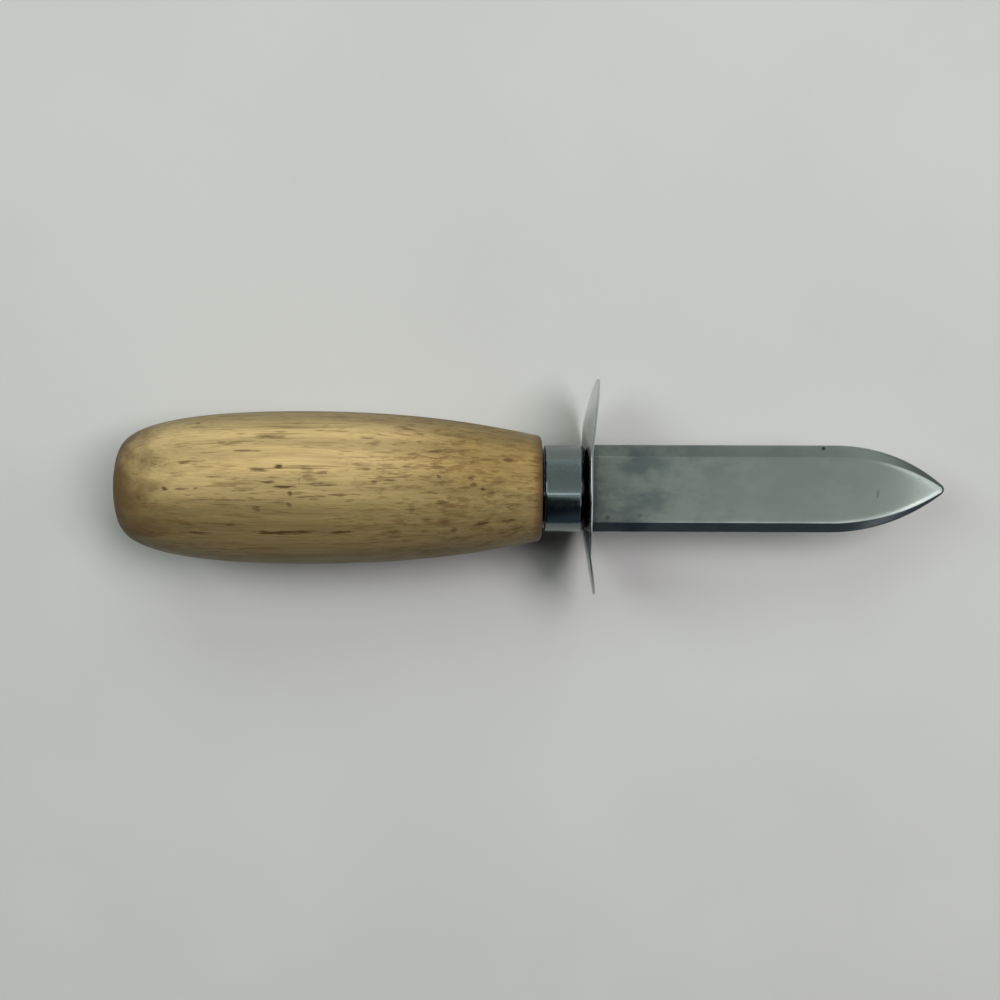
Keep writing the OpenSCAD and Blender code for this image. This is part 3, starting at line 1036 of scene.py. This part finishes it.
@dataclass
class Blade:
    """Lancet blade with a bevel all round, and its flat tang.

    Its edge_rows, which round the blunt edge, are distances in from it, each with the most that
    half the thickness may be there. Its ridge_rows are distances inwards from the ridge.
    """

    tang: Tang
    thickness: float = 2.0
    point_l: float = 21.8
    point_r: float = 1.2
    bevel_w: float = 2.15
    edge_t: float = 0.5
    thin_l: float = 20.0
    thin_depth: float = 0.55
    ridge_blend: float = 0.012
    roll_angle: Pair = (3.0, 10.0)
    roll_w: Pair = (0.22, 0.34)
    roll_from: float = 30.0
    roll_full: float = 4.0
    ridge_passes: int = 4
    edge_rows: tuple[Pair, ...] = ((0.0, 0.14), (0.02, 0.20), (0.07, 0.25))
    ridge_rows: tuple[float, ...] = (-0.06, -0.03, 0.0, 0.03, 0.06, 0.12, 0.2, 0.3, 0.4, 0.5, 0.65,
                                     0.8, 1.0, 1.25, 1.5, 1.8, 2.2, 2.7, 3.3)

    def __post_init__(self) -> None:
        """Reads the blade's stations and width from the CAD nodes."""
        low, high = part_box("blade")
        self.heel_x = low.x / MM + self.tang.length
        self.length = high.x / MM - self.heel_x
        self.half_w = (high.y - low.y) / 2 / MM
        self.axis_z = (low.z + high.z) / 2 / MM

    @property
    def arc_start(self) -> float:
        """Distance from the heel at which the edges start to curve in."""
        return self.length - self.point_l

    @property
    def arc_r(self) -> float:
        """Radius of an edge's arc, which touches the straight edge and the point's small arc."""
        run = self.point_l - self.point_r
        return (run ** 2 + self.half_w ** 2 - self.point_r ** 2) / (2 * (self.half_w - self.point_r))

    @property
    def join_turn(self) -> float:
        """Angle of the normal from +Y, in radians, where the point's small arc takes over."""
        return math.atan2(self.point_l - self.point_r, self.arc_r - self.half_w)

    def edge_line(self) -> tuple[np.ndarray, np.ndarray]:
        """The +Y edge seen from above, from heel to point, with its outward normal.

        It is straight, then an arc tangent to it, then the point's small arc. On an arc, the
        point where the normal has the angle a from +Y is its centre + radius (sin a, cos a).

        Returns:
            Points (x, y) from the heel, and unit normals.
        """
        flat_x = np.linspace(0, self.arc_start, 60)
        turn = np.concatenate([np.linspace(0, self.join_turn, 110)[1:],
                               np.linspace(self.join_turn, np.pi / 2, 16)[1:]])
        on_point = turn > self.join_turn
        centre_x = np.where(on_point, self.length - self.point_r, self.arc_start)
        centre_y = np.where(on_point, 0, self.half_w - self.arc_r)
        radius = np.where(on_point, self.point_r, self.arc_r)
        curve = np.stack([centre_x + radius * np.sin(turn), centre_y + radius * np.cos(turn)], -1)
        line = np.concatenate([np.stack([flat_x, 0 * flat_x + self.half_w], -1), curve])
        normal = np.concatenate([np.stack([0 * flat_x, 0 * flat_x + 1], -1),
                                 np.stack([np.sin(turn), np.cos(turn)], -1)])
        return line, normal

    def half_thickness(self, depth: np.ndarray, along: np.ndarray) -> np.ndarray:
        """Half the blade's thickness at a distance in from its edge.

        The bevel is edge_t/2 + depth * rise, and the flat is thickness/2 less a parabola near
        the point. Polishing has rolled the flat off towards the ridge by w tan(a) exp(-q/w) at
        a distance q from it, and more so near the point. The smaller of the two holds, blended
        as (a + b - sqrt((a-b)^2 + k^2)) / 2.

        Args:
            depth: distance in from the edge, seen from above.
            along: distance from the heel.

        Returns:
            Half-thicknesses in millimetres.
        """
        bevel = self.edge_t / 2 + self.rise * depth
        flat = self.flat_height(along)
        grown = ease(along, self.length - self.roll_from, self.length - self.roll_full)
        width = self.roll_w[0] + (self.roll_w[1] - self.roll_w[0]) * grown
        angle = np.radians(self.roll_angle[0] + (self.roll_angle[1] - self.roll_angle[0]) * grown)
        from_ridge = np.maximum(bevel - flat, 0) / self.rise
        flat = flat - width * np.tan(angle) * np.exp(-from_ridge / width)
        return (bevel + flat - np.sqrt((bevel - flat) ** 2 + self.ridge_blend ** 2)) / 2

    @property
    def rise(self) -> float:
        """How much the bevel rises for each millimetre in from the edge."""
        return (self.thickness - self.edge_t) / 2 / self.bevel_w

    def flat_height(self, along: np.ndarray) -> np.ndarray:
        """Height t/2 - thin_depth n^2 of the flat, where n runs from 0 to 1 over the last thin_l."""
        near_point = np.clip((along - self.length + self.thin_l) / self.thin_l, 0, 1)
        return self.thickness / 2 - self.thin_depth * near_point ** 2

    def blade_columns(self) -> np.ndarray:
        """Half sections of the blade, one for each point along the edge, which run from the
        middle of the top round the +Y edge to the middle of the underside.

        A section follows the edge's normal inwards. It meets the blade's middle at the depth
        y / cos a, where a is the normal's angle from +Y.

        Returns:
            An array (column, row, xyz) from the heel to the point.
        """
        line, normal = self.edge_line()
        on_point = normal[:, :1] > math.sin(self.join_turn) + SAME_POINT_M
        inmost = np.where(on_point, self.point_r, line[:, 1:] / np.maximum(normal[:, 1:], SAME_POINT_M))
        ridge = np.full(inmost.shape, self.bevel_w)
        for _ in range(self.ridge_passes):
            ridge_x = line[:, :1] - ridge * normal[:, :1]
            ridge = (self.flat_height(ridge_x) - self.edge_t / 2) / self.rise
        edge_rows = np.array(self.edge_rows)
        bevel_rows = 0.1 + (ridge - 0.2) * np.linspace(0.05, 1, 8)
        depths = np.hstack([edge_rows[:, 0] + 0 * ridge, bevel_rows, ridge + np.array(self.ridge_rows)])
        depths = np.minimum(depths, inmost)
        shares = np.linspace(0, 1, 9)[1:]
        depths = np.hstack([depths, depths[:, -1:] + shares * (inmost - depths[:, -1:])])
        inset = line[:, None, :] - depths[:, :, None] * normal[:, None, :]
        inset[:, -1, 1] = 0
        height = self.half_thickness(depths, inset[:, :, 0])
        rounded = height[:, :len(edge_rows)]
        rounded[:] = np.minimum(rounded, edge_rows[:, 1])
        top = np.concatenate([inset, height[:, :, None]], axis=-1)[:, ::-1]
        middle = np.concatenate([line, np.zeros((len(line), 1))], axis=1)[:, None]
        return np.concatenate([top, middle, top[:, ::-1] * (1, 1, -1)], axis=1)

    def tang_columns(self, rows: int) -> np.ndarray:
        """Half sections of the tang, from its end to the heel.

        Its half-width at s from the end is (end_width + (width - end_width) s / length) / 2,
        less the depth sqrt(r^2 - (s - c)^2) of each round notch about a point c on its edge.

        Args:
            rows: number of points in each section, as in the blade's.

        Returns:
            An array (column, row, xyz).
        """
        tang = self.tang
        pitch = (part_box("handle")[1].x / MM - (self.heel_x - tang.length)) / (tang.notches + 1)
        notch = np.linspace(-tang.notch_r, tang.notch_r, 13)
        centres = pitch * np.arange(1, tang.notches + 1)
        from_end = np.concatenate([[0], *(c + notch for c in centres), [tang.length]])
        half = (tang.end_width + (tang.width - tang.end_width) * from_end / tang.length) / 2
        near = np.abs(from_end[:, None] - centres[None]).min(axis=1)
        half = half - np.sqrt(np.maximum(tang.notch_r ** 2 - near ** 2, 0))
        top_rows = 9
        side_rows = rows - 2 * top_rows
        share = np.concatenate([np.linspace(0, 1, top_rows), np.ones(side_rows),
                                np.linspace(1, 0, top_rows)])
        level = np.concatenate([np.ones(top_rows), np.linspace(1, -1, side_rows + 2)[1:-1],
                                -np.ones(top_rows)])
        high = self.thickness / 2 - tang.ease
        return np.stack(np.broadcast_arrays((from_end - tang.length)[:, None],
                                            half[:, None] * share, high * level), axis=-1)

    def build(self) -> bpy.types.Object:
        """Joins the tang's and the blade's half sections, mirrors them and closes the tang's end.

        Returns:
            The piece.
        """
        blade = self.blade_columns()
        tang = self.tang_columns(blade.shape[1])
        columns = np.concatenate([tang, blade])
        points = columns.reshape(-1, 3)
        quads = grid_faces(len(columns), columns.shape[1], False, False)
        end = np.arange(columns.shape[1])
        faces = [*quads.tolist(), end.tolist(),
                 *(quads[:, ::-1] + len(points)).tolist(), (end[::-1] + len(points)).tolist()]
        both = np.concatenate([points, points * (1, -1, 1)]) + (self.heel_x, 0, self.axis_z)
        return solid("lancet_blade", both * MM, faces, 25)

    def dress(self, piece: bpy.types.Object) -> None:
        """Gives the piece its ground steel and puts it in the node's place.

        Args:
            piece: the built piece.
        """
        top_z = self.axis_z + self.thickness / 2
        flaws_and_shade = (
            Mark((self.heel_x + 45.3, self.half_w - 0.5, top_z - 0.6), (0.35, 0.28, 0.6), 0.8),
            Mark((self.heel_x + 56.4, -0.6, top_z), (0.25, 0.9, 0.5), 0.25),
            # Painted shadow of the guard across the blade at the heel.
            Mark((self.heel_x, 0, top_z), (1.6, 12, 6), 0.4),
            Mark((self.heel_x + 3.9, -5.6, top_z), (0.35, 0.5, 0.5), 0.45),
            Mark((self.heel_x + 10.2, -5.2, top_z), (0.5, 0.4, 0.5), 0.30),
        )
        finish = SteelFinish("ground_blade_steel", Polish.GROUND, tint(169, 172, 164),
                             tint(124, 133, 132), (0.25, 7.0, 7.0), 0.9, flaws_and_shade,
                             clouds_per_mm=(0.09, 0.13, 0.13),
                             stain_run=(self.heel_x + 8, self.heel_x + 30))
        place(piece, finish.material(), "blade")


class TangResin:
    """Resin that fills the drilled hole round the tang. Its CAD node has the right shape."""

    def dress(self) -> None:
        """Gives the CAD node its resin."""
        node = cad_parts["tang_resin"]
        node.data.materials.clear()
        node.data.materials.append(ResinFinish().material())
        LOG.info("tang_resin: the CAD node keeps its shape")


# The studio


@dataclass
class PhotoCamera:
    """Camera above the knife, tilted towards +Y, placed so that the knife falls on the photograph's
    pixels. Lengths in pixels are in the photograph's 1000 by 1000 frame."""

    frame_px: float = 1000.0
    butt_px: float = 124.4
    point_px: float = 943.8
    axis_row_px: float = 486.8
    axis_slope: float = 0.0035
    slope_from_px: float = 118.0
    distance_px: float = 1300.0
    tilt: float = 15.0
    sensor_mm: float = 36.0
    near_m: float = 0.01

    def place(self) -> None:
        """Makes the camera and makes it the scene's own."""
        low, high = CAD_BOUNDS
        axis_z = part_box("handle")[1].z / 2
        pixel = (high.x - low.x) / (self.point_px - self.butt_px)
        tilt = math.radians(self.tilt)
        towards = Vector((0, math.sin(tilt), math.cos(tilt)))
        image_up = Vector((0, math.cos(tilt), -math.sin(tilt)))
        right = Vector((1, 0, 0))
        middle = self.frame_px / 2
        axis_row = self.axis_row_px + self.axis_slope * (middle - self.slope_from_px)
        target = Vector((low.x + (middle - self.butt_px) * pixel, 0, axis_z))
        target -= image_up * ((middle - axis_row) * pixel)
        roll = math.atan(self.axis_slope)
        turned_right = right * math.cos(roll) + image_up * math.sin(roll)
        turned_up = image_up * math.cos(roll) - right * math.sin(roll)
        pose = Matrix((turned_right, turned_up, towards)).transposed().to_4x4()
        pose.translation = target + towards * (self.distance_px * pixel)
        data = bpy.data.cameras.new("photo_camera")
        data.sensor_width = self.sensor_mm
        data.lens = self.sensor_mm * self.distance_px / self.frame_px
        data.clip_start = self.near_m
        camera = bpy.data.objects.new("photo_camera", data)
        camera.matrix_world = pose
        bpy.context.scene.collection.objects.link(camera)
        bpy.context.scene.camera = camera


@dataclass(frozen=True)
class Lamp:
    """A soft rectangular lamp that looks at the middle of the knife."""

    name: str
    lean_x: float
    lean_y: float
    size_x: float
    size_y: float
    watts: float
    colour: Triple = (0.91, 1.0, 0.90)
    distance: float = 1.6

    def place(self) -> None:
        """Makes the lamp, at the lean angles in degrees from straight up towards +X and +Y."""
        towards = Vector((math.tan(math.radians(self.lean_x)),
                          math.tan(math.radians(self.lean_y)), 1)).normalized()
        data = bpy.data.lights.new(self.name, "AREA")
        data.shape = "RECTANGLE"
        data.size, data.size_y = self.size_x, self.size_y
        data.energy = self.watts
        data.color = self.colour
        lamp = bpy.data.objects.new(self.name, data)
        lamp.location = towards * self.distance
        lamp.rotation_euler = towards.to_track_quat("Z", "Y").to_euler()
        lamp.visible_glossy = False
        bpy.context.scene.collection.objects.link(lamp)


@dataclass(frozen=True)
class Panel:
    """A soft-edged bright panel of the surround, which only shiny surfaces see.

    Its sides are angles in degrees from straight up, towards +X and towards +Y.
    """

    from_x: float
    to_x: float
    from_y: float
    to_y: float
    soft: float
    light: float

    def seen(self, graph: Graph, lean_x: Socket, lean_y: Socket) -> Socket:
        """The panel's light towards a direction.

        Args:
            graph: the surround's graph.
            lean_x: the direction's angle towards +X.
            lean_y: its angle towards +Y.

        Returns:
            Up to light inside the panel and 0 outside.
        """
        total: Socket | float = self.light
        for lean, side, inwards in ((lean_x, self.from_x, 1), (lean_x, self.to_x, -1),
                                    (lean_y, self.from_y, 1), (lean_y, self.to_y, -1)):
            inside = graph.fade(lean, side - inwards * self.soft, side + inwards * self.soft)
            total = graph.times(inside, total)
        return total


@dataclass
class Studio:
    """Pale table, soft lamps and a dim surround.

    The surround's runs, and its wall's edge and foot, are angles in degrees from straight up over
    which one light gives way to another.
    """

    table_half: float = 0.7
    surround: Colour = (0.62, 0.63, 0.63, 1.0)
    dark_light: Pair = (0.008, 0.075)
    dark_run: Pair = (4.2, 7.5)
    dark_tint: Triple = (0.74, 1.0, 1.32)
    wall_light: float = 0.50
    wall_lean: float = 1.2
    wall_edge: Pair = (-13.5, -10.0)
    wall_foot: Pair = (-42.0, -34.0)
    foot_run: Pair = (55.0, 63.0)
    wall_shift: float = -6.5
    shift_run: Pair = (3.0, 5.0)
    wall_top: float = 0.62
    top_run: Pair = (-4.0, 20.0)
    left_run: Pair = (2.0, 26.0)
    wall_aside: float = 0.42
    aside_run: Pair = (30.0, 39.0)
    aside_end: Pair = (30.0, 60.0)
    wall_horizon: float = 1.25
    horizon_run: Pair = (40.0, 80.0)
    wall_tint: Triple = (0.88, 1.0, 0.975)
    panel_tint: Triple = (0.95, 0.97, 1.05)
    panels: tuple[Panel, ...] = (
        Panel(-16, 4.2, -1.0, 0.8, 0.6, 1.8),  # the line along the ferrule
        Panel(25, 44, -38, -18, 1.0, 1.9),  # the lower ridge at the point
        Panel(23.4, 40, -17, 8, 0.8, 1.0),  # the flat at the point
        Panel(36.0, 43.5, -60, -47, 1.5, 0.26),  # the lower bevel near the point
        Panel(7.2, 23, -33, -19, 0.8, 0.7),  # the lower ridge of the straight blade
        Panel(-62, -44, -8, 40, 4.0, 2.0),  # the ferrule's lip
        Panel(-44, -9, 2, 32, 2.0, 1.6),  # the ferrule's lip, higher up
    )
    lamps: tuple[Lamp, ...] = (
        Lamp("main", 25, 23, 1.05, 0.55, 17.6, (1.0, 0.965, 1.0)),
        Lamp("left", -40, 30, 0.6, 0.9, 8.7),
        Lamp("rear", 0, 57, 1.3, 0.6, 7.6),
        Lamp("right", 60, 30, 0.5, 0.8, 2.2),
    )

    def table(self) -> None:
        """Makes the table top and gives it its finish."""
        corner = self.table_half
        mesh = bpy.data.meshes.new("table_top")
        mesh.from_pydata([(-corner, -corner, 0), (corner, -corner, 0), (corner, corner, 0),
                          (-corner, corner, 0)], [], [(0, 1, 2, 3)])
        top = bpy.data.objects.new("table_top", mesh)
        bpy.context.scene.collection.objects.link(top)
        mesh.materials.append(TableFinish().material())

    def sky(self) -> None:
        """Makes the surround: pale to the camera, black to matt surfaces, which the lamps light,
        and to shiny ones a soft grey wall on the +Y side, a dark side and a few bright panels.

        The wall's edge lies where the angle towards +Y, plus wall_lean times the angle towards
        +X, is wall_edge, and wall_shift further on at the angles that the ferrule reflects. Its
        foot is cut off except far towards +X. Its light is wall_light times wall_top high up
        on the left, wall_aside on the right and wall_horizon at the horizon. The dark side goes
        from black at the ferrule's angles to a dim blue at the blade's.
        """
        world = bpy.data.worlds.new("surround")
        world.use_nodes = True
        graph = Graph(world.node_tree)
        ray = graph.add("ShaderNodeLightPath")
        direction = graph.add("ShaderNodeTexCoord").outputs["Generated"]
        x, y, z = graph.add("ShaderNodeSeparateXYZ", {0: direction}).outputs
        lean_x = graph.math("DEGREES", graph.math("ARCTAN2", x, z))
        lean_y = graph.math("DEGREES", graph.math("ARCTAN2", y, z))
        slanted = graph.plus(lean_y, graph.times(lean_x, self.wall_lean))
        slanted = graph.plus(slanted, graph.fade(lean_x, *self.shift_run, self.wall_shift, 0.0))
        foot = graph.fade(lean_y, *self.wall_foot)
        wall_share = graph.times(graph.fade(slanted, *self.wall_edge),
                                 graph.fade(lean_x, *self.foot_run, foot, 1.0))
        top = graph.fade(lean_x, *self.left_run, self.wall_top, 1.0)
        aside = graph.fade(lean_y, *self.aside_end, self.wall_aside, 1.0)
        grey = graph.times(graph.fade(lean_y, *self.top_run, 1.0, top), self.wall_light)
        grey = graph.times(grey, graph.fade(lean_x, *self.aside_run, 1.0, aside))
        grey = graph.times(grey, graph.fade(lean_y, *self.horizon_run, 1.0, self.wall_horizon))
        dark = graph.scale(self.dark_tint, graph.fade(lean_x, *self.dark_run, *self.dark_light))
        reflected = graph.mix(wall_share, dark, graph.scale(self.wall_tint, grey))
        for panel in self.panels:
            light = graph.scale(self.panel_tint, panel.seen(graph, lean_x, lean_y))
            reflected = graph.vector("ADD", reflected, light)
        seen = graph.mix(ray.outputs["Is Glossy Ray"], (0.0, 0.0, 0.0, 1.0), reflected)
        seen = graph.mix(ray.outputs["Is Camera Ray"], seen, self.surround)
        background = graph.add("ShaderNodeBackground", {"Color": seen, "Strength": 1.0})
        output = graph.add("ShaderNodeOutputWorld")
        graph.tree.links.new(background.outputs[0], output.inputs["Surface"])
        bpy.context.scene.world = world

    def build(self) -> None:
        """Makes the table, the surround, the lamps and the camera."""
        self.table()
        self.sky()
        for lamp in self.lamps:
            lamp.place()
        PhotoCamera().place()
        bpy.context.scene.view_settings.view_transform = "Standard"
        LOG.info("studio: %d lamps", len(self.lamps))


def main() -> None:
    """Builds and dresses the knife's pieces in order, then the studio."""
    logging.basicConfig(level=logging.INFO, format="%(name)s: %(message)s")
    tang = Tang()
    for part in (Handle(), Ferrule(tang), Guard(tang), Blade(tang)):
        part.dress(part.build())
    TangResin().dress()
    Studio().build()


if __name__ == "__main__":
    main()
